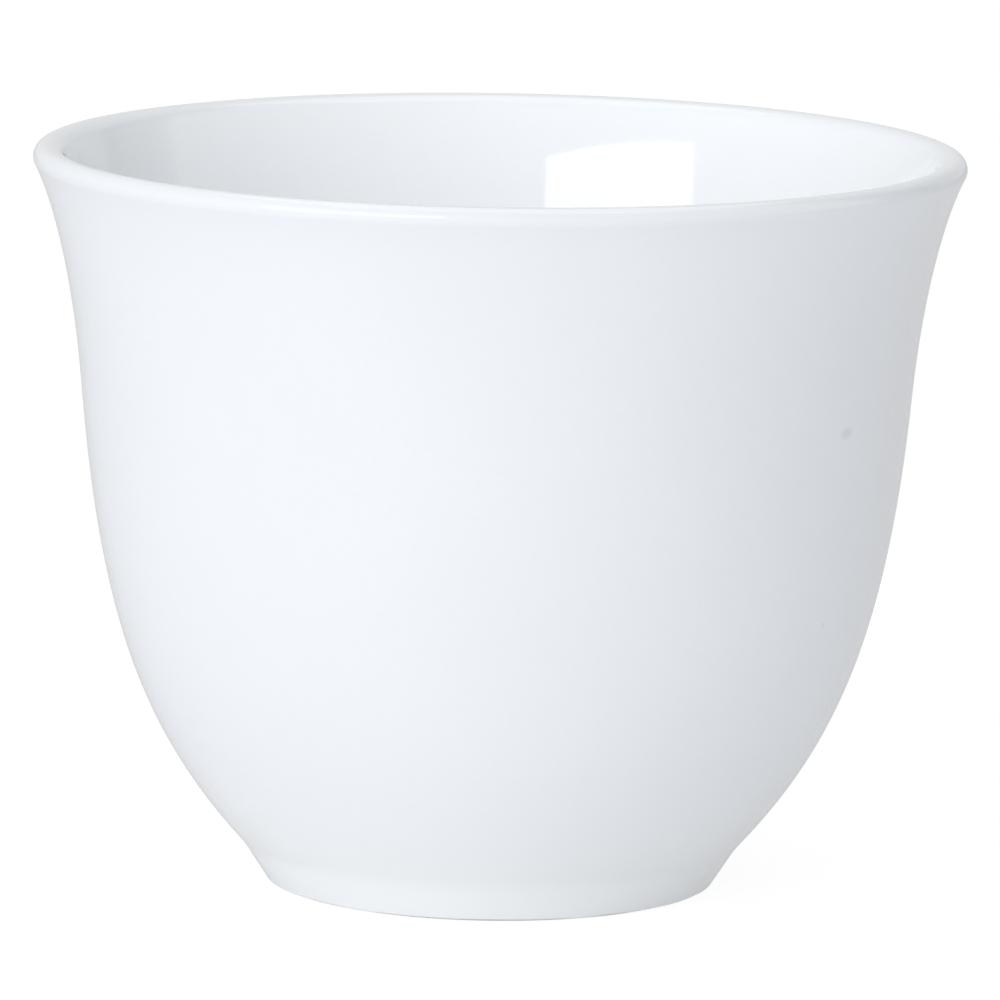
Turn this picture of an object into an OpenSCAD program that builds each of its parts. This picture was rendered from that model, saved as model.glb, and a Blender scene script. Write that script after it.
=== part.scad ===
// Arabic coffee cup: a handleless bowl of white porcelain on a short foot, with a flared lip.
// The body is pressed and fired in one piece. Glaze covers the bowl inside and out, and a
// second patch covers the well under the foot. Both stop at the bare ring that the cup stands on.
// Millimetres, +Z up. The origin is on the axis, in the plane that the foot stands on.

/* [Bowl] */
// Outside diameter across the lip
rim_d = 66; // [62:0.5:72]
// Height from the table to the crest of the lip
cup_h = 52.5; // [48:0.5:60]
// Outside diameter at the waist, where the bowl stands steepest
waist_d = 58.9; // [55:0.1:60.5]
// Height of the waist above the table
waist_h = 35.3; // [30:0.1:39]
// Lean of the wall at the waist, in degrees out from the vertical
waist_lean = 4.9; // [3:0.1:8]
// Lean of the bowl where it leaves the foot
belly_lean = 42; // [38:0.5:46]

/* [Lip] */
// Radius of the lip's outer edge
lip_edge_r = 0.9; // [0.6:0.05:1.1]
// Width of the roll from the crest of the lip to the inside wall
lip_roll_w = 1.35; // [1:0.05:2]
// Drop of that roll below the crest
lip_roll_h = 1; // [0.7:0.05:1.4]
// Lean of the outside wall just under the lip
flare_lean = 27; // [18:0.5:34]
// Lean of the inside wall just under the lip
flare_inside_lean = 24; // [18:0.5:30]

/* [Wall] */
// Thickness of the wall at the waist, glaze included
wall_t = 2.5; // [2:0.1:3.2]
// Thickness of the wall low in the bowl, where the inside turns to the floor
heel_t = 3.1; // [2.4:0.1:3.8]
// Thickness of the floor on the axis, glaze included
floor_t = 3.8; // [3:0.1:5]
// Thickness of the fired glaze
glaze_t = 0.2; // [0.15:0.01:0.3]

/* [Foot] */
// Diameter of the foot's glazed wall, carried down to the table
foot_d = 31.8; // [30:0.1:34]
// Height at which the foot runs into the bowl
foot_h = 2.8; // [2.4:0.1:3.4]
// Lean of the foot's wall
foot_lean = 33; // [28:0.5:37]
// Radius of the soft hollow between foot and bowl
hollow_r = 8; // [3:0.5:10]
// Width of the bare ring that the cup stands on
ring_w = 2.5; // [2:0.1:3.2]
// Reach of the rounding at both edges of that ring
ring_edge = 0.15; // [0.1:0.05:0.5]
// Depth of the well under the foot, at its wall
well_h = 1.7; // [1.2:0.1:2.4]
// Rise of the well's ceiling from its wall to the axis
well_dome = 0.5; // [0.2:0.1:0.8]
// Lean of the well's wall, in towards the axis
well_lean = 14; // [6:1:20]

/* [Hidden] */
$fn = 144;

// Handles of the belly and flare curves, as shares of the distance between each curve's ends
belly_low_share = 0.30;
belly_high_share = 0.48;
flare_low_share = 0.47;
flare_high_share = 0.18;
// Where the inside wall leaves the outside's shape and turns to the floor, along the belly curve
turn_share = 0.24;
// Step along that curve that gives its direction there
turn_step_share = 0.01;
// Handles of the turn: a share of the way down to the floor, and a share of the turn's radius
floor_wall_share = 0.85;
floor_axis_share = 0.60;
// Handles of the well's ceiling, as shares of its radius and of its depth
well_flat_share = 0.84;
well_side_share = 0.90;
// Handles of a rounded edge, as a share of the way to its corner
edge_share = 0.60;
// Length of the glaze's rounded end, in thicknesses of glaze
bead_share = 1.2;

// Steps along each kind of curve
belly_steps = 26;
flare_steps = 14;
floor_steps = 18;
lip_steps = 8;
under_lip_steps = 3;
edge_steps = 4;

// Unit vector that leans out from the vertical by an angle
function leaning(angle) = [sin(angle), cos(angle)];

// Normal that points out of the clay. Every outline runs from the axis under the cup, round the
// foot, up the outside, over the lip and down the inside to the axis again.
function out_of(dir) = [dir[1], -dir[0]];

function unit(v) = v / norm(v);

// A point of an outline is kept with its normal, as [point, normal]
function points(stretch) = [for (s = stretch) s[0]];
function under(stretch, depth) = [for (s = stretch) s[0] - depth * s[1]];
function backwards(list) = [for (i = [len(list) - 1:-1:0]) list[i]];

function on_curve(a, b, c, d, t) = [
    pow(1 - t, 3) * a + 3 * pow(1 - t, 2) * t * b + 3 * (1 - t) * t * t * c + pow(t, 3) * d,
    out_of(unit(pow(1 - t, 2) * (b - a) + 2 * (1 - t) * t * (c - b) + t * t * (d - c)))
];

// A cubic curve that leaves its start along one direction and arrives along another. The start
// itself is left out, because the stretch before it ends there.
function curve(start, start_dir, start_pull, end, end_dir, end_pull, steps) = [
    for (i = [1:steps])
        on_curve(start, start + start_pull * start_dir, end - end_pull * end_dir, end, i / steps)
];

// A rounded corner that reaches back along both of its sides
function rounded(corner, dir_in, dir_out, reach) = curve(
    corner - reach * dir_in, dir_in, edge_share * reach,
    corner + reach * dir_out, dir_out, edge_share * reach, edge_steps);

// Foot: the body's corners at the table, and where each patch of glaze starts on the clay
foot_dir = leaning(foot_lean);
well_dir = leaning(-well_lean);
ring_outer = [foot_d / 2 - glaze_t / cos(foot_lean), 0];
ring_inner = ring_outer - [ring_w, 0];
foot_glaze_start = ring_outer + ring_edge * foot_dir;
well_glaze_start = ring_inner + ring_edge * well_dir;
bead_reach = bead_share * glaze_t;

// Hollow between foot and bowl, tangent to both
hollow = [foot_d / 2 + foot_h * tan(foot_lean), foot_h];
hollow_reach = hollow_r * tan((belly_lean - foot_lean) / 2);
belly_start = hollow + hollow_reach * leaning(belly_lean);

// Waist, and the arc of the lip's outer edge that the flare runs into
waist = [waist_d / 2, waist_h];
waist_dir = leaning(waist_lean);
lip_edge = [rim_d / 2 - lip_edge_r, cup_h - lip_edge_r];
flare_end = lip_edge + lip_edge_r * out_of(leaning(flare_lean));
belly_chord = norm(waist - belly_start);
flare_chord = norm(flare_end - waist);

function belly_at(t) = on_curve(
    belly_start, belly_start + belly_low_share * belly_chord * leaning(belly_lean),
    waist - belly_high_share * belly_chord * waist_dir, waist, t);

function outside_wall() = concat(
    [[hollow - hollow_reach * foot_dir, out_of(foot_dir)]],
    rounded(hollow, foot_dir, leaning(belly_lean), hollow_reach),
    [for (i = [1:belly_steps]) belly_at(i / belly_steps)],
    curve(waist, waist_dir, flare_low_share * flare_chord,
          flare_end, leaning(flare_lean), flare_high_share * flare_chord, flare_steps)
);

// Lip: an arc outside the crest, and inside it part of a flatter ellipse
roll = [lip_edge[0], cup_h - lip_roll_h];
roll_end_angle = 180 - atan(tan(flare_inside_lean) * lip_roll_h / lip_roll_w);
roll_end = roll + [lip_roll_w * cos(roll_end_angle), lip_roll_h * sin(roll_end_angle)];

function edge_arc(from, to, steps) = [
    for (i = [1:steps]) let (angle = from + i / steps * (to - from), normal = [cos(angle), sin(angle)])
        [lip_edge + lip_edge_r * normal, normal]
];

function lip() = concat(
    edge_arc(-flare_lean, 0, under_lip_steps),
    edge_arc(0, 90, lip_steps),
    [for (i = [1:lip_steps]) let (angle = 90 + i / lip_steps * (roll_end_angle - 90))
        [roll + [lip_roll_w * cos(angle), lip_roll_h * sin(angle)],
         unit([lip_roll_h * cos(angle), lip_roll_w * sin(angle)])]]
);

// Inside: the wall keeps the outside's shape and grows thicker towards the heel, then turns to
// the floor
floor_middle = [0, well_h + well_dome + floor_t];
function inside_at(t) = let (s = belly_at(t), depth = heel_t + (wall_t - heel_t) * t)
    [s[0] - depth * s[1], -s[1]];
inside_waist = inside_at(1)[0];
turn = inside_at(turn_share)[0];
turn_dir = unit(turn - inside_at(turn_share + turn_step_share)[0]);

function inside_wall() = let (chord = norm(inside_waist - roll_end), drop = (turn - floor_middle)[1]) concat(
    curve(roll_end, -leaning(flare_inside_lean), flare_high_share * chord,
          inside_waist, -waist_dir, flare_low_share * chord, flare_steps),
    [for (i = [1:belly_steps]) inside_at(1 - i / belly_steps * (1 - turn_share))],
    curve(turn, turn_dir, -floor_wall_share * drop / turn_dir[1],
          floor_middle, [-1, 0], floor_axis_share * turn[0], floor_steps)
);

// The two glazed faces, as the eye sees them: the whole bowl, and the well under the foot
function glazed_bowl() = concat(outside_wall(), lip(), inside_wall());

well_glaze_full = well_glaze_start + glaze_t * out_of(-well_dir) + bead_reach * well_dir;
function glazed_well() = let (top = [0, well_h + well_dome]) concat(
    [[top, [0, -1]]],
    curve(top, [1, 0], well_flat_share * well_glaze_full[0],
          well_glaze_full, -well_dir, well_side_share * (well_h - well_glaze_full[1]), floor_steps)
);

// The rounded end of a patch of glaze, from the clay to the glaze's full thickness
function bead(start, dir, normal) = points(curve(
    start, normal, edge_share * glaze_t,
    start + glaze_t * normal + bead_reach * dir, dir, edge_share * bead_reach, edge_steps));

// Fired porcelain body, bare only at the standing ring
module porcelain_body() {
    ring = concat(
        [[well_glaze_start, out_of(-well_dir)]],
        rounded(ring_inner, -well_dir, [1, 0], ring_edge),
        [[ring_outer - [ring_edge, 0], [0, -1]]],
        rounded(ring_outer, [1, 0], foot_dir, ring_edge)
    );
    color("ivory") rotate_extrude()
        polygon(concat(under(glazed_well(), glaze_t), points(ring), under(glazed_bowl(), glaze_t)));
}

// Glaze over the whole bowl, inside and out
module glaze_coat() {
    skin = glazed_bowl();
    color("white") rotate_extrude()
        polygon(concat(
            [foot_glaze_start], bead(foot_glaze_start, foot_dir, out_of(foot_dir)),
            points(skin), backwards(under(skin, glaze_t))));
}

// Glaze in the well under the foot
module foot_well_glaze() {
    skin = glazed_well();
    end = bead(well_glaze_start, well_dir, out_of(-well_dir));
    inner_end = [for (i = [len(end) - 2:-1:0]) end[i]];
    color("whitesmoke") rotate_extrude()
        polygon(concat(
            points(skin), inner_end, [well_glaze_start],
            backwards(under(skin, glaze_t))));
}

porcelain_body();
glaze_coat();
foot_well_glaze();
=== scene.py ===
from math import atan, cos, degrees, radians, sin, tan, tau

import bpy
from mathutils import Matrix, Vector, noise


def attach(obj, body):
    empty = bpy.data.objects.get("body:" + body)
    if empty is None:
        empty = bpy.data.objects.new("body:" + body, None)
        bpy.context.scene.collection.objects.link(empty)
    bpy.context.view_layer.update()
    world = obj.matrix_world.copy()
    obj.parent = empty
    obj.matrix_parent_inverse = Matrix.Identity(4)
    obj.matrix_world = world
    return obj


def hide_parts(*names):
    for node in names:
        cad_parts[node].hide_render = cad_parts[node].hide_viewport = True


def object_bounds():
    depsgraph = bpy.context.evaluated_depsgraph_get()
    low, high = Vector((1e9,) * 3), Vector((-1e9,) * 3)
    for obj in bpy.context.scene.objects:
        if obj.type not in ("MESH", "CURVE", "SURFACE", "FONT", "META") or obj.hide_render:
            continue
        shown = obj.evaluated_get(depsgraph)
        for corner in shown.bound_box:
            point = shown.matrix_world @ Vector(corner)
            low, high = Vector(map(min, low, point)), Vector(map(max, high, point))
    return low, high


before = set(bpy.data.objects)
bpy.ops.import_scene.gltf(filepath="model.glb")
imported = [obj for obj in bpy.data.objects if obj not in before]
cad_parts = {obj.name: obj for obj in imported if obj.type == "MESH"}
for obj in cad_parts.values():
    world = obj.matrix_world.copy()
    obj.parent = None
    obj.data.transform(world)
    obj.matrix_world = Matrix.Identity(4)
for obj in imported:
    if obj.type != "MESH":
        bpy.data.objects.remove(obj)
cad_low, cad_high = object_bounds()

# Porcelain body
# One piece of hard porcelain, pressed in a plaster mould under a turning head, trimmed and fired.
# It carries the glaze all over, and shows only at the ring under the foot, which was wiped bare.

# Millimetres. The outline is the glazed cup's own, and the body lies one glaze thickness inside it.
mm = 0.001
rim_r = cad_high.x / mm
cup_h = cad_high.z / mm
waist_r = 29.45
waist_h = 35.3
waist_lean = 4.9
belly_lean = 42
lip_edge_r = 0.9
lip_roll_w = 1.35
lip_roll_h = 1.0
flare_lean = 27
flare_inside_lean = 24
wall_t = 2.5
heel_t = 3.1
floor_t = 3.8
glaze_t = 0.2
foot_r = 15.9
foot_h = 2.8
foot_lean = 33
hollow_r = 8
ring_w = 2.5
ring_edge = 0.15
well_h = 1.7
well_dome = 0.5
well_lean = 14

# Handles of the curves, as shares of the distance between a curve's ends, and of a rounding's reach
belly_low_share = 0.30
belly_high_share = 0.48
flare_low_share = 0.47
flare_high_share = 0.18
edge_share = 0.6
edge_steps = 8
belly_steps = 60
flare_steps = 36


def leaning(angle):
    """Unit vector that leans out from the vertical, in the plane of the outline (radius, height)."""
    return Vector((sin(radians(angle)), cos(radians(angle))))


def out_of(direction):
    """Normal that points out of the clay, for an outline that runs up the outside and down the inside."""
    return Vector((direction.y, -direction.x))


def curve(start, start_dir, start_pull, end, end_dir, end_pull, steps):
    """Points and normals along a cubic curve, without its start."""
    a, b, c, d = start, start + start_pull * start_dir, end - end_pull * end_dir, end
    made = []
    for i in range(1, steps + 1):
        t = i / steps
        u = 1 - t
        point = u**3 * a + 3 * u * u * t * b + 3 * u * t * t * c + t**3 * d
        along = u * u * (b - a) + 2 * u * t * (c - b) + t * t * (d - c)
        made.append((point, out_of(along.normalized())))
    return made


def rounded(corner, dir_in, dir_out, reach):
    """A corner eased over, reaching back along both of its sides."""
    pull = edge_share * reach
    return curve(corner - reach * dir_in, dir_in, pull, corner + reach * dir_out, dir_out, pull, edge_steps)


def under(stretch, depth):
    """The same stretch of surface, moved into the clay."""
    return [point - depth * normal for point, normal in stretch]


foot_dir = leaning(foot_lean)
well_dir = leaning(-well_lean)
belly_dir = leaning(belly_lean)
waist_dir = leaning(waist_lean)
ring_outer = Vector((foot_r - glaze_t / cos(radians(foot_lean)), 0))
ring_inner = ring_outer - Vector((ring_w, 0))
foot_glaze_start = ring_outer + ring_edge * foot_dir
well_glaze_start = ring_inner + ring_edge * well_dir

hollow = Vector((foot_r + foot_h * tan(radians(foot_lean)), foot_h))
hollow_reach = hollow_r * tan(radians(belly_lean - foot_lean) / 2)
belly_start = hollow + hollow_reach * belly_dir
waist = Vector((waist_r, waist_h))
lip_edge = Vector((rim_r - lip_edge_r, cup_h - lip_edge_r))
flare_end = lip_edge + lip_edge_r * out_of(leaning(flare_lean))
belly_chord = (waist - belly_start).length
flare_chord = (flare_end - waist).length


def belly(steps):
    """The outside from the foot's hollow up to the waist."""
    return curve(
        belly_start, belly_dir, belly_low_share * belly_chord,
        waist, waist_dir, belly_high_share * belly_chord, steps,
    )


outside = [(hollow - hollow_reach * foot_dir, out_of(foot_dir))]
outside += rounded(hollow, foot_dir, belly_dir, hollow_reach)
outside += belly(belly_steps)
outside += curve(
    waist, waist_dir, flare_low_share * flare_chord,
    flare_end, leaning(flare_lean), flare_high_share * flare_chord, flare_steps,
)

# The lip is an arc outside its crest and part of a flatter ellipse inside it
lip_steps = 24
roll = Vector((lip_edge.x, cup_h - lip_roll_h))
roll_end_angle = 180 - degrees(atan(tan(radians(flare_inside_lean)) * lip_roll_h / lip_roll_w))
lip = []
for step in range(1, lip_steps + 1):
    normal = out_of(leaning(flare_lean - step / lip_steps * (90 + flare_lean)))
    lip.append((lip_edge + lip_edge_r * normal, normal))
for step in range(1, lip_steps + 1):
    angle = radians(90 + step / lip_steps * (roll_end_angle - 90))
    point = roll + Vector((lip_roll_w * cos(angle), lip_roll_h * sin(angle)))
    lip.append((point, Vector((lip_roll_h * cos(angle), lip_roll_w * sin(angle))).normalized()))
roll_end = lip[-1][0]

# The inside keeps the outside's shape, grows thicker towards the heel and turns to the floor there.
# Its wall is worked out in fine steps, and every fourth one is kept
turn_share = 0.24
floor_wall_share = 0.85
floor_axis_share = 0.60
floor_steps = 48
fine_steps = 400
kept_every = 4
floor_middle = Vector((0, well_h + well_dome + floor_t))
wall_inside = []
for step, (point, normal) in enumerate(belly(fine_steps), 1):
    if step / fine_steps >= turn_share:
        depth = heel_t + (wall_t - heel_t) * step / fine_steps
        wall_inside.append((point - depth * normal, -normal))
inside_waist = wall_inside[-1][0]
turn = wall_inside[0][0]
turn_dir = (turn - wall_inside[kept_every][0]).normalized()
inside_chord = (inside_waist - roll_end).length
inside = curve(
    roll_end, -leaning(flare_inside_lean), flare_high_share * inside_chord,
    inside_waist, -waist_dir, flare_low_share * inside_chord, flare_steps,
)
inside += wall_inside[-1 - kept_every::-kept_every]
inside += curve(
    turn, turn_dir, floor_wall_share * (turn - floor_middle).y / -turn_dir.y,
    floor_middle, Vector((-1, 0)), floor_axis_share * turn.x, floor_steps,
)
bowl_skin = outside + lip + inside

# The well under the foot, and the bare ring between the two patches of glaze
bead_share = 1.2
well_flat_share = 0.84
well_side_share = 0.90
well_steps = 60
ring_steps = 8
bead = bead_share * glaze_t
well_top = Vector((0, well_h + well_dome))
well_full = well_glaze_start + glaze_t * out_of(-well_dir) + bead * well_dir
well_skin = [(well_top, Vector((0, -1)))]
well_skin += curve(
    well_top, Vector((1, 0)), well_flat_share * well_full.x,
    well_full, -well_dir, well_side_share * (well_h - well_full.y), well_steps,
)

ring = [(well_glaze_start, out_of(-well_dir))]
ring += rounded(ring_inner, -well_dir, Vector((1, 0)), ring_edge)
for step in range(ring_steps + 1):
    across_ring = ring_edge + step / ring_steps * (ring_w - 2 * ring_edge)
    ring.append((ring_inner + Vector((across_ring, 0)), Vector((0, -1))))
ring += rounded(ring_outer, Vector((1, 0)), foot_dir, ring_edge)

# Each piece is turned in this many steps, and a corner sharper than this angle stays sharp
steps_round = 240
sharp_angle = radians(40)
on_axis_r = 1e-6


def turned(name, outline, material, relief=None):
    """A closed mesh, turned round the axis from an outline. relief(index, place) moves a point of it."""
    corners = []
    rows = []
    for index, point in enumerate(outline):
        on_axis = point.x < on_axis_r
        row = []
        for k in range(1 if on_axis else steps_round):
            angle = k / steps_round * tau
            shifted = point
            if relief:
                place = Vector((point.x * cos(angle), point.x * sin(angle), point.y))
                shifted = point + relief(index, place)
            row.append(len(corners))
            corners.append((shifted.x * cos(angle) * mm, shifted.x * sin(angle) * mm, shifted.y * mm))
        rows.append(row)
    faces = []
    for low, high in zip(rows, rows[1:] + rows[:1]):
        for k in range(steps_round):
            after = (k + 1) % steps_round
            loop = [low[k % len(low)], low[after % len(low)], high[after % len(high)], high[k % len(high)]]
            face = list(dict.fromkeys(loop))
            if len(face) > 2:
                faces.append(face)
    mesh = bpy.data.meshes.new(name)
    mesh.from_pydata(corners, [], faces)
    mesh.polygons.foreach_set("use_smooth", [True] * len(mesh.polygons))
    mesh.set_sharp_from_angle(angle=sharp_angle)
    mesh.materials.append(material)
    piece = bpy.data.objects.new(name, mesh)
    bpy.context.scene.collection.objects.link(piece)
    return piece


def linear(hex_colour):
    """An sRGB hex colour as linear red, green, blue and alpha."""
    channels = [int(hex_colour[i:i + 2], 16) / 255 for i in (1, 3, 5)]
    return [c / 12.92 if c <= 0.04045 else ((c + 0.055) / 1.055) ** 2.4 for c in channels] + [1.0]


def node(tree, kind, inputs={}, **settings):
    """Adds a node with its settings. An input is a value, or the socket that feeds it."""
    made = tree.nodes.new(kind)
    for name, value in settings.items():
        setattr(made, name, value)
    for socket, value in inputs.items():
        if isinstance(value, bpy.types.NodeSocket):
            tree.links.new(value, made.inputs[socket])
        else:
            made.inputs[socket].default_value = value
    return made


# Unglazed hard porcelain: dense, matt and faintly warm beside the glaze, with a fine grit to the
# touch. The ring's flat is rubbed smoother and greyer where it has stood on trays.
grit_size = 0.18
rubbed_size = 1.6
grit_relief = 0.02
biscuit = bpy.data.materials.new("biscuit_porcelain_wiped_bare")
biscuit.use_nodes = True
tree = biscuit.node_tree
tree.nodes.clear()
place = node(tree, "ShaderNodeTexCoord")
in_mm = node(tree, "ShaderNodeVectorMath", {0: place.outputs["Object"], "Scale": 1 / mm}, operation="SCALE")
grit = node(tree, "ShaderNodeTexNoise", {
    "Vector": in_mm.outputs[0], "Scale": 1 / grit_size, "Detail": 3.0,
})
rubbed = node(tree, "ShaderNodeTexNoise", {
    "Vector": in_mm.outputs[0], "Scale": 1 / rubbed_size, "Detail": 4.0,
})
colour = node(tree, "ShaderNodeMix", {
    "Factor": rubbed.outputs["Fac"], "A": linear("#E6E3DC"), "B": linear("#D6D3CC"),
}, data_type="RGBA")
roughness = node(tree, "ShaderNodeMapRange", {
    "Value": rubbed.outputs["Fac"], "From Min": 0.3, "From Max": 0.7, "To Min": 0.62, "To Max": 0.82,
})
bump = node(tree, "ShaderNodeBump", {
    "Height": grit.outputs["Fac"], "Strength": 0.6, "Distance": grit_relief * mm,
})
shader = node(tree, "ShaderNodeBsdfPrincipled", {
    "Base Color": colour.outputs["Result"], "Roughness": roughness.outputs["Result"],
    "Normal": bump.outputs["Normal"], "IOR": 1.5,
})
node(tree, "ShaderNodeOutputMaterial", {"Surface": shader.outputs["BSDF"]})

body_outline = under(well_skin, glaze_t) + [point for point, normal in ring] + under(bowl_skin, glaze_t)
body = turned("porcelain_body_biscuit", body_outline, biscuit)
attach(body, "root")
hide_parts("porcelain_body")

# Glaze over the bowl
# A clear glaze, dipped on and melted to a glass skin 0.2 mm thick inside, over the lip and outside.
# It ends in a soft bead on the foot's wall, where it was wiped back from the standing ring.

foot_bead = curve(
    foot_glaze_start, out_of(foot_dir), edge_share * glaze_t,
    foot_glaze_start + glaze_t * out_of(foot_dir) + bead * foot_dir, foot_dir, edge_share * bead, edge_steps,
)
hidden_every = 4
skin_start = 1 + len(foot_bead)
skin_end = skin_start + len(bowl_skin)
glaze_outline = [foot_glaze_start] + [point for point, normal in foot_bead]
glaze_outline += [point for point, normal in bowl_skin]
# The face against the body is out of sight, so it keeps one point in four
glaze_outline += under(bowl_skin, glaze_t)[::-hidden_every]
ripple_depth = 0.02
ripple_length = 8.0
wander = 0.12
wander_length = 3.5
wander_reach = 1.2


def glaze_relief(index, place):
    """The melted glaze lies in long low ripples, and its wiped edge wanders a little along the foot."""
    along_foot = Vector((0, 0))
    if place.z < wander_reach:
        fade = 1 - place.z / wander_reach
        along_foot = fade * fade * wander * noise.noise(place / wander_length) * foot_dir
    if skin_start <= index < skin_end:
        ripple = noise.noise(place / ripple_length) * 0.5 + 0.5
        return along_foot - ripple_depth * ripple * bowl_skin[index - skin_start][1]
    return along_foot


# Glazed hard porcelain: a bluish white body seen through clear, hard glass with crisp reflections.
# The eye gets a bright, almost even white with a wet gloss, whiter inside as painted light, a shade
# less blue low on the outside, bluer where it ran thin over the lip, and a few pinpricks of iron.
glaze = bpy.data.materials.new("clear_glaze_over_white_porcelain")
glaze.use_nodes = True
tree = glaze.node_tree
tree.nodes.clear()
place = node(tree, "ShaderNodeTexCoord")
in_mm = node(tree, "ShaderNodeVectorMath", {0: place.outputs["Object"], "Scale": 1 / mm}, operation="SCALE")
height = node(tree, "ShaderNodeSeparateXYZ", {"Vector": in_mm.outputs[0]}).outputs["Z"]
across = node(tree, "ShaderNodeVectorMath", {0: in_mm.outputs[0], 1: (1, 1, 0)}, operation="MULTIPLY")
radius = node(tree, "ShaderNodeVectorMath", {0: across.outputs[0]}, operation="LENGTH").outputs["Value"]

# The inside is painted whiter than the outside, as painted light that brightens the inside of the bowl.
# A face's normal tells them apart: inside it leans to the axis and up, outside away and down.
outwards = node(tree, "ShaderNodeVectorMath", {0: across.outputs[0]}, operation="NORMALIZE")
leaning_up = node(tree, "ShaderNodeVectorMath", {
    0: (0, 0, 1), 1: outwards.outputs[0],
}, operation="SUBTRACT")
facing = node(tree, "ShaderNodeVectorMath", {
    0: place.outputs["Normal"], 1: leaning_up.outputs[0],
}, operation="DOT_PRODUCT")
inner = node(tree, "ShaderNodeMapRange", {
    "Value": facing.outputs["Value"], "From Min": -0.4, "From Max": 0.8,
}, interpolation_type="SMOOTHSTEP")

# Soft clouding of the body under the glaze, and a fine grain in it, which shows less inside
cloud_size = 14
grain_size = 0.35
cloud = node(tree, "ShaderNodeTexNoise", {
    "Vector": in_mm.outputs[0], "Scale": 1 / cloud_size, "Detail": 2.0,
})
grain = node(tree, "ShaderNodeTexNoise", {
    "Vector": in_mm.outputs[0], "Scale": 1 / grain_size, "Detail": 2.0,
})
dipped = node(tree, "ShaderNodeMix", {
    "Factor": cloud.outputs["Fac"], "A": linear("#EFF2F7"), "B": linear("#EBEFF5"),
}, data_type="RGBA")
# Painted light: the inside's whiter colour, which brightens the inside of the bowl
inside_painted_whiter = node(tree, "ShaderNodeMix", {
    "Factor": cloud.outputs["Fac"], "A": linear("#F8FBFE"), "B": linear("#F5F8FB"),
}, data_type="RGBA")
clouded = node(tree, "ShaderNodeMix", {
    "Factor": inner.outputs["Result"], "A": dipped.outputs["Result"], "B": inside_painted_whiter.outputs["Result"],
}, data_type="RGBA")
showing = node(tree, "ShaderNodeMapRange", {
    "Value": inner.outputs["Result"], "To Min": 0.35, "To Max": 0.08,
})
grains = node(tree, "ShaderNodeMapRange", {
    "Value": grain.outputs["Fac"], "From Min": 0.45, "From Max": 0.75, "To Max": showing.outputs["Result"],
})
grained = node(tree, "ShaderNodeMix", {
    "Factor": grains.outputs["Result"], "A": clouded.outputs["Result"], "B": linear("#EAEEF2"),
}, data_type="RGBA")

# A shade less blue low on the outside and, with thick glaze, on the floor inside; bluer with thin glaze over
# the lip
in_hollow = node(tree, "ShaderNodeMapRange", {
    "Value": height, "From Min": 12.0, "From Max": 3.0,
}, interpolation_type="SMOOTHSTEP")
on_floor = node(tree, "ShaderNodeMapRange", {
    "Value": radius, "From Min": 17.5, "From Max": 11.0, "To Max": 0.5,
}, interpolation_type="SMOOTHSTEP")
inner_floor = node(tree, "ShaderNodeMath", {
    0: on_floor.outputs["Result"], 1: inner.outputs["Result"],
}, operation="MULTIPLY")
low_or_floor_mask = node(tree, "ShaderNodeMath", {
    0: in_hollow.outputs["Result"], 1: inner_floor.outputs[0],
}, operation="MAXIMUM")
less_blue_low_and_floor = node(tree, "ShaderNodeMix", {
    "Factor": low_or_floor_mask.outputs[0], "A": grained.outputs["Result"], "B": linear("#F0F3F6"),
}, data_type="RGBA")
over_lip = node(tree, "ShaderNodeMapRange", {
    "Value": height, "From Min": cup_h - 1.1, "From Max": cup_h - 0.2, "To Max": 0.35,
}, interpolation_type="SMOOTHSTEP")
thin = node(tree, "ShaderNodeMix", {
    "Factor": over_lip.outputs["Result"], "A": less_blue_low_and_floor.outputs["Result"], "B": linear("#EAF0F7"),
}, data_type="RGBA")

# Iron specks about 0.2 mm across, one to every few square centimetres
speck_cell = 9.0
speck_r = 0.11
cells = node(tree, "ShaderNodeTexVoronoi", {"Vector": in_mm.outputs[0], "Scale": 1 / speck_cell})
speck = node(tree, "ShaderNodeMapRange", {
    "Value": cells.outputs["Distance"],
    "From Min": speck_r / speck_cell, "From Max": 0.5 * speck_r / speck_cell, "To Max": 0.55,
})
specked = node(tree, "ShaderNodeMix", {
    "Factor": speck.outputs["Result"], "A": thin.outputs["Result"], "B": linear("#A79F93"),
}, data_type="RGBA")

# Two blemishes on the right of the outside, each with its middle, squeeze and reach in millimetres:
# a healed bubble, and a short drag mark. They are dented in the gloss, and painted shade darkens their
# colour a little
blemishes = [
    ((24.27, -16.63, 35.07), (1.0, 1.0, 1.8), 1.0),
    ((22.97, -14.81, 21.21), (1.0, 1.0, 0.45), 0.16),
]
blemish_painted_shade = 0.22
blemish_dent = -8.0
marks = []
for middle, squeeze, reach in blemishes:
    offset = node(tree, "ShaderNodeVectorMath", {0: in_mm.outputs[0], 1: middle}, operation="SUBTRACT")
    shaped = node(tree, "ShaderNodeVectorMath", {0: offset.outputs[0], 1: squeeze}, operation="MULTIPLY")
    away = node(tree, "ShaderNodeVectorMath", {0: shaped.outputs[0]}, operation="LENGTH")
    marks.append(node(tree, "ShaderNodeMapRange", {
        "Value": away.outputs["Value"], "From Min": reach, "From Max": 0.3 * reach,
    }, interpolation_type="SMOOTHSTEP").outputs["Result"])
blemish = node(tree, "ShaderNodeMath", {0: marks[0], 1: marks[1]}, operation="MAXIMUM")
# Painted shade: the blemishes' colour is darkened a little towards grey
blemish_shade = node(tree, "ShaderNodeMath", {0: blemish.outputs[0], 1: blemish_painted_shade}, operation="MULTIPLY")
colour = node(tree, "ShaderNodeMix", {
    "Factor": blemish_shade.outputs[0], "A": specked.outputs["Result"], "B": linear("#B3BCC7"),
}, data_type="RGBA")

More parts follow.
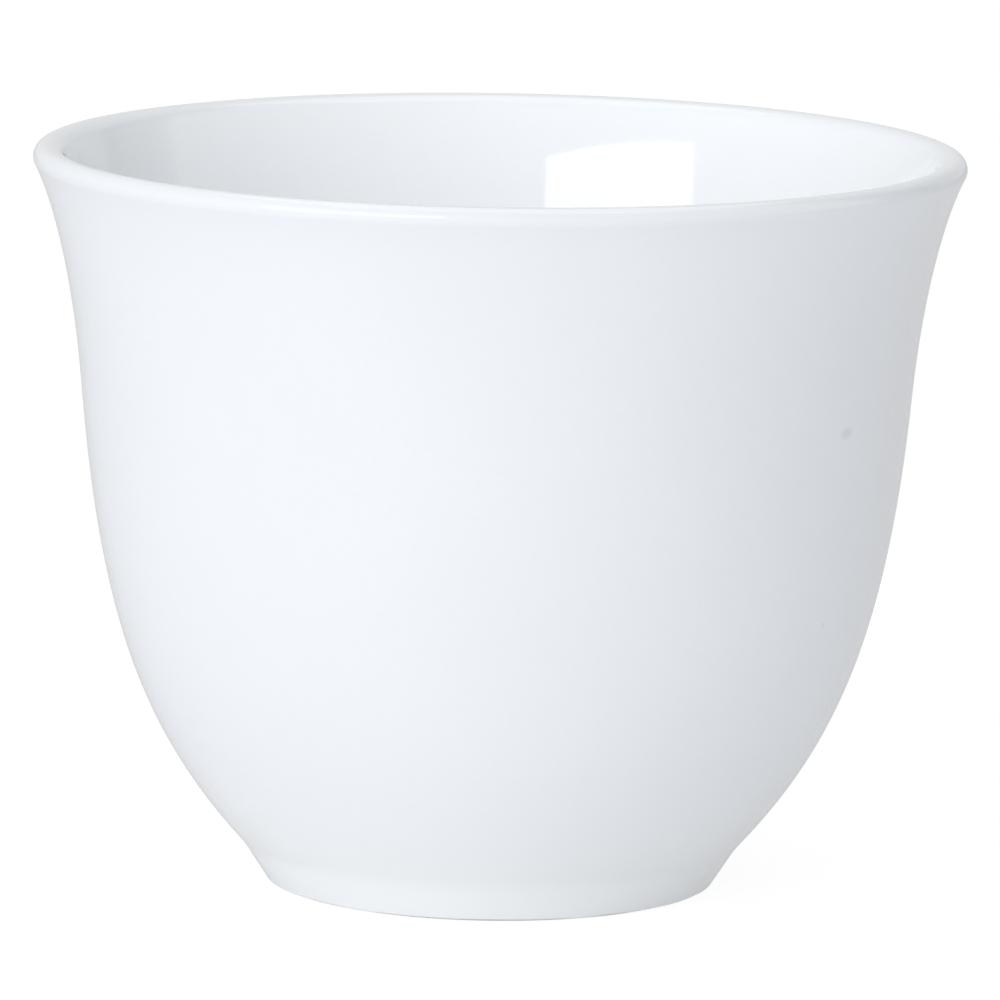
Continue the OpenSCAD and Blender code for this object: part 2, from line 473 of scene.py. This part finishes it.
# A hard, wet gloss, a little softer in patches, over the faint orange peel of the cooled melt
patch_size = 6
peel_size = 1.3
peel_relief = 0.002
patches = node(tree, "ShaderNodeTexNoise", {
    "Vector": in_mm.outputs[0], "Scale": 1 / patch_size, "Detail": 3.0,
})
roughness = node(tree, "ShaderNodeMapRange", {
    "Value": patches.outputs["Fac"], "From Min": 0.3, "From Max": 0.7, "To Min": 0.04, "To Max": 0.075,
})
peel = node(tree, "ShaderNodeTexNoise", {
    "Vector": in_mm.outputs[0], "Scale": 1 / peel_size, "Detail": 1.0,
})
dented = node(tree, "ShaderNodeMath", {
    0: blemish.outputs[0], 1: blemish_dent, 2: peel.outputs["Fac"],
}, operation="MULTIPLY_ADD")
bump = node(tree, "ShaderNodeBump", {
    "Height": dented.outputs[0], "Strength": 1.0, "Distance": peel_relief * mm,
})
shader = node(tree, "ShaderNodeBsdfPrincipled", {
    "Base Color": colour.outputs["Result"], "Roughness": roughness.outputs["Result"],
    "Normal": bump.outputs["Normal"], "IOR": 1.5,
})
node(tree, "ShaderNodeOutputMaterial", {"Surface": shader.outputs["BSDF"]})

coat = turned("glaze_over_bowl", glaze_outline, glaze, relief=glaze_relief)
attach(coat, "root")
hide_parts("glaze_coat")

# Glaze in the foot's well
# The same glaze, caught in the shallow well under the foot and cut off from the rest by the bare
# ring. It ends in a soft bead just inside the ring.

well_bead = curve(
    well_glaze_start, out_of(-well_dir), edge_share * glaze_t,
    well_full, well_dir, edge_share * bead, edge_steps,
)
well_outline = [point for point, normal in well_skin]
well_outline += [point for point, normal in well_bead[-2::-1]] + [well_glaze_start]
well_outline += under(well_skin, glaze_t)[::-1]
well_glaze = turned("glaze_in_foot_well", well_outline, glaze)
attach(well_glaze, "root")
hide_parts("foot_well_glaze")

# Table
# A plain matt white sheet of paper that the cup stands on. It takes the cup's shadow, and it glows a
# little, so that it is white to the eye and lights the cup from below.

sheet_half = 4.0
# Levels of its glow for the eye, in the glaze's reflections and as light on the cup, and the share of
# glow against shadowed paper where it is seen and where it lights
sheet_white = 1.1
sheet_mirrored = 0.63
sheet_lighting = 1.10
glow_seen = 0.8
glow_lighting = 0.15
corners = [(sheet_half * x, sheet_half * y, 0) for x, y in ((-1, -1), (1, -1), (1, 1), (-1, 1))]
mesh = bpy.data.meshes.new("table")
mesh.from_pydata(corners, [], [(0, 1, 2, 3)])
table = bpy.data.objects.new("table", mesh)
bpy.context.scene.collection.objects.link(table)
paper = bpy.data.materials.new("matt_white_paper")
paper.use_nodes = True
tree = paper.node_tree
tree.nodes.clear()
ray = node(tree, "ShaderNodeLightPath")
seen = node(tree, "ShaderNodeMath", {0: ray.outputs["Is Camera Ray"], 1: ray.outputs["Is Glossy Ray"]})
seen = node(tree, "ShaderNodeMath", {0: seen.outputs[0], 1: ray.outputs["Is Transmission Ray"]})
glow = node(tree, "ShaderNodeMapRange", {
    "Value": seen.outputs[0], "To Min": glow_lighting, "To Max": glow_seen,
})
towards_cup = node(tree, "ShaderNodeMapRange", {
    "Value": seen.outputs[0], "To Min": sheet_lighting, "To Max": sheet_mirrored,
})
sheet_level = node(tree, "ShaderNodeMapRange", {
    "Value": ray.outputs["Is Camera Ray"], "To Min": towards_cup.outputs["Result"], "To Max": sheet_white,
})
matt = node(tree, "ShaderNodeBsdfDiffuse", {"Color": linear("#F7F7F7")})
white = node(tree, "ShaderNodeEmission", {
    "Color": linear("#FFFFFF"), "Strength": sheet_level.outputs["Result"],
})
mixed = node(tree, "ShaderNodeMixShader", {
    0: glow.outputs["Result"], 1: matt.outputs[0], 2: white.outputs[0],
})
node(tree, "ShaderNodeOutputMaterial", {"Surface": mixed.outputs[0]})
mesh.materials.append(paper)

# Studio light
# A white room, brightest in front of the cup and on the left, with a broad softbox overhead and one
# upright softbox in front of the cup, to the left.

# Levels of the front, back, left and right walls, and of the backdrop that the eye sees
walls = [("Y", "MINIMUM", 1.48), ("Y", "MAXIMUM", 0.90), ("X", "MINIMUM", 1.02), ("X", "MAXIMUM", 0.44)]
backdrop_white = 1.05
world = bpy.data.worlds.new("studio")
world.use_nodes = True
bpy.context.scene.world = world
tree = world.node_tree
tree.nodes.clear()
towards = node(tree, "ShaderNodeTexCoord")
part = node(tree, "ShaderNodeSeparateXYZ", {"Vector": towards.outputs["Generated"]})
level = 0.0
for axis, limit, wall in walls:
    side = node(tree, "ShaderNodeMath", {0: part.outputs[axis], 1: 0.0}, operation=limit)
    side = node(tree, "ShaderNodeMath", {0: side.outputs[0], 1: side.outputs[0]}, operation="MULTIPLY")
    level = node(tree, "ShaderNodeMath", {
        0: side.outputs[0], 1: wall, 2: level,
    }, operation="MULTIPLY_ADD").outputs[0]

# What the glaze mirrors of the room, by the angle round from straight behind the cup to the right.
# Each step is where something ends: the pale backdrop, a grey screen behind the cup on the right,
# and the bright wall beside it, which fades towards the front
around = node(tree, "ShaderNodeMath", {0: part.outputs["X"], 1: part.outputs["Y"]}, operation="ARCTAN2")
room_steps = [
    (-110, -70, -0.26), (-30, 35, 0.06), (41, 44, -0.32), (44, 70, 0.28), (70, 76, 0.78), (76, 160, -0.54),
]
mirrored = 1.0
for start, end, change in room_steps:
    step = node(tree, "ShaderNodeMapRange", {
        "Value": around.outputs[0], "From Min": radians(start), "From Max": radians(end), "To Max": change,
    })
    mirrored = node(tree, "ShaderNodeMath", {0: mirrored, 1: step.outputs["Result"]}).outputs[0]
ray = node(tree, "ShaderNodeLightPath")
seen = node(tree, "ShaderNodeMath", {0: ray.outputs["Is Camera Ray"], 1: ray.outputs["Is Glossy Ray"]})
seen = node(tree, "ShaderNodeMath", {0: seen.outputs[0], 1: ray.outputs["Is Transmission Ray"]})
background = node(tree, "ShaderNodeMix", {
    "Factor": ray.outputs["Is Camera Ray"], "A": mirrored, "B": backdrop_white,
}, data_type="FLOAT")
strength = node(tree, "ShaderNodeMix", {
    "Factor": seen.outputs[0], "A": level, "B": background.outputs["Result"],
}, data_type="FLOAT")
sky = node(tree, "ShaderNodeBackground", {
    "Color": linear("#FFFFFF"), "Strength": strength.outputs["Result"],
})
node(tree, "ShaderNodeOutputWorld", {"Surface": sky.outputs[0]})

overhead = bpy.data.lights.new("overhead_softbox", "AREA")
overhead.shape = "SQUARE"
overhead.size = 0.84
overhead.energy = 2.55
lamp = bpy.data.objects.new("overhead_softbox", overhead)
bpy.context.scene.collection.objects.link(lamp)
lamp.location = Vector((0, 0.16, 0.9))
lamp.rotation_euler = lamp.location.to_track_quat("Z", "Y").to_euler()
lamp.visible_camera = False

# The upright softbox, in angles from the place in the bowl that mirrors it: how far round it stands
# to the left of the front, half its width, and its lower and upper edge
softbox_away = 0.9
softbox_round = 36.7
softbox_half = 23.1
softbox_low = softbox_away * tan(radians(14))
softbox_high = softbox_away * tan(radians(31.1))
mirrored_at = Vector((0, 0, 0.047))
softbox = bpy.data.lights.new("softbox", "AREA")
softbox.shape = "RECTANGLE"
softbox.size = 2 * softbox_away * tan(radians(softbox_half))
softbox.size_y = softbox_high - softbox_low
softbox.energy = 2.6
lamp = bpy.data.objects.new("softbox", softbox)
bpy.context.scene.collection.objects.link(lamp)
towards = Vector((-sin(radians(softbox_round)), -cos(radians(softbox_round)), 0))
lamp.location = mirrored_at + softbox_away * towards + Vector((0, 0, (softbox_low + softbox_high) / 2))
lamp.rotation_euler = towards.to_track_quat("Z", "Y").to_euler()
lamp.visible_camera = False

# Camera
# A long lens in front of the cup, a little above it, and turned slightly about its own axis.

camera_away = 0.65
camera_up = 0.13465
camera_pitch = 9.382
camera_yaw = -0.031
camera_roll = 0.922
focal_length = 333.6
film_width = 36
lens = bpy.data.cameras.new("camera")
lens.sensor_width = film_width
lens.lens = focal_length
camera = bpy.data.objects.new("camera", lens)
bpy.context.scene.collection.objects.link(camera)
camera.matrix_world = (
    Matrix.Translation((0, -camera_away, camera_up))
    @ Matrix.Rotation(radians(camera_yaw), 4, "Z")
    @ Matrix.Rotation(radians(90 - camera_pitch), 4, "X")
    @ Matrix.Rotation(radians(camera_roll), 4, "Z")
)
bpy.context.scene.camera = camera
bpy.context.scene.view_settings.view_transform = "Standard"

bpy.context.view_layer.update()
